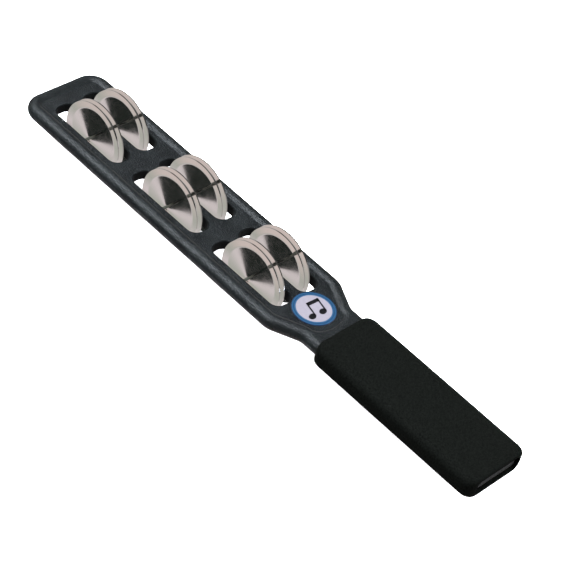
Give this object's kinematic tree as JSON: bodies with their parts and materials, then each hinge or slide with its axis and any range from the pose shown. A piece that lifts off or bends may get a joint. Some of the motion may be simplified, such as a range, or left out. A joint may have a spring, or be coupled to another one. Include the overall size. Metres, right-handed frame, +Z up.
{
  "type": "jingle stick",
  "caption": "Hand-held jingle stick: a flat moulded paddle with pairs of thin steel jingles loose on pins in its windows, and a foam-covered handle.",
  "frame": {"origin": "middle of the outline seen from above, on the surface that the jingle rims rest on", "axes": "+X along the stick from tip to butt, +Y across the stick parallel to the pins, +Z up from the badge face"},
  "size_m": [0.4, 0.0652, 0.0504],
  "materials": {
    "moulding": "black, fine moulded grain, satin",
    "jingle": "nickel-plated steel, polished, faint turning lines",
    "pin": "drawn wire",
    "foam": "black closed-cell foam, matte",
    "badge": "printed sticker, blue ring on white"
  },
  "bodies": {
    "stick": {"top_half": "moulding", "bottom_half": "moulding", "badge": "badge", "grip_sleeve": "foam", "pin_1": "pin", "pin_2": "pin", "pin_3": "pin"},
    "jingle_1_near_front": {"jingle_1_near_front": "jingle"},
    "jingle_1_near_back": {"jingle_1_near_back": "jingle"},
    "jingle_1_far_front": {"jingle_1_far_front": "jingle"},
    "jingle_1_far_back": {"jingle_1_far_back": "jingle"},
    "jingle_2_near_front": {"jingle_2_near_front": "jingle"},
    "jingle_2_near_back": {"jingle_2_near_back": "jingle"},
    "jingle_2_far_front": {"jingle_2_far_front": "jingle"},
    "jingle_2_far_back": {"jingle_2_far_back": "jingle"},
    "jingle_3_near_front": {"jingle_3_near_front": "jingle"},
    "jingle_3_near_back": {"jingle_3_near_back": "jingle"},
    "jingle_3_far_front": {"jingle_3_far_front": "jingle"},
    "jingle_3_far_back": {"jingle_3_far_back": "jingle"}
  },
  "joints": [
    {"name": "jingle_1_near_front_spin", "type": "hinge", "parent": "stick", "child": "jingle_1_near_front", "pos_m": [-0.151, 0, 0.0252], "axis": [0, 1, 0], "continuous": true},
    {"name": "jingle_1_near_back_slide", "type": "slide", "parent": "stick", "child": "jingle_1_near_back", "axis": [0, 1, 0], "range_m": [-0.0016, 0.002]},
    {"name": "jingle_1_far_front_spin", "type": "hinge", "parent": "stick", "child": "jingle_1_far_front", "pos_m": [-0.151, 0, 0.0252], "axis": [0, 1, 0], "continuous": true},
    {"name": "jingle_1_far_back_slide", "type": "slide", "parent": "stick", "child": "jingle_1_far_back", "axis": [0, 1, 0], "range_m": [-0.0016, 0.0032]},
    {"name": "jingle_2_near_front_spin", "type": "hinge", "parent": "stick", "child": "jingle_2_near_front", "pos_m": [-0.0755, 0, 0.0252], "axis": [0, 1, 0], "continuous": true},
    {"name": "jingle_2_near_back_slide", "type": "slide", "parent": "stick", "child": "jingle_2_near_back", "axis": [0, 1, 0], "range_m": [-0.0016, 0.002]},
    {"name": "jingle_2_far_front_spin", "type": "hinge", "parent": "stick", "child": "jingle_2_far_front", "pos_m": [-0.0755, 0, 0.0252], "axis": [0, 1, 0], "continuous": true},
    {"name": "jingle_2_far_back_slide", "type": "slide", "parent": "stick", "child": "jingle_2_far_back", "axis": [0, 1, 0], "range_m": [-0.0016, 0.0032]},
    {"name": "jingle_3_near_front_spin", "type": "hinge", "parent": "stick", "child": "jingle_3_near_front", "pos_m": [0, 0, 0.0252], "axis": [0, 1, 0], "continuous": true},
    {"name": "jingle_3_near_back_slide", "type": "slide", "parent": "stick", "child": "jingle_3_near_back", "axis": [0, 1, 0], "range_m": [-0.0016, 0.002]},
    {"name": "jingle_3_far_front_spin", "type": "hinge", "parent": "stick", "child": "jingle_3_far_front", "pos_m": [0, 0, 0.0252], "axis": [0, 1, 0], "continuous": true},
    {"name": "jingle_3_far_back_slide", "type": "slide", "parent": "stick", "child": "jingle_3_far_back", "axis": [0, 1, 0], "range_m": [-0.0016, 0.0032]}
  ]
}
